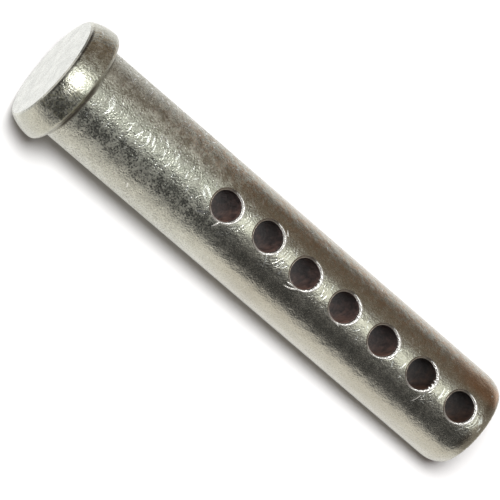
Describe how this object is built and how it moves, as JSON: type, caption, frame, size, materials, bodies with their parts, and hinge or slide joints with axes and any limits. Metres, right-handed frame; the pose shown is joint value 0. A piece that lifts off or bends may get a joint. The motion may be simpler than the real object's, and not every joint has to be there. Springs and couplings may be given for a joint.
{
  "type": "clevis pin",
  "caption": "Universal clevis pin: a headed steel pin with a row of cross holes, so a cotter or hitch pin can lock it at several grip lengths.",
  "frame": {"origin": "centre of the head's flat outer face, which the pin stands on", "axes": "+Z along the shank from the head to the free end; the cross holes run along Y, and the second hole from the head lies 0.5 mm towards -X"},
  "size_m": [0.0156, 0.0156, 0.0679],
  "materials": {
    "pin_steel": "tumbled and worn, with a fine speckle, nicks and light scratches"
  },
  "bodies": {
    "root": {"clevis_pin": "pin_steel"}
  },
  "joints": []
}
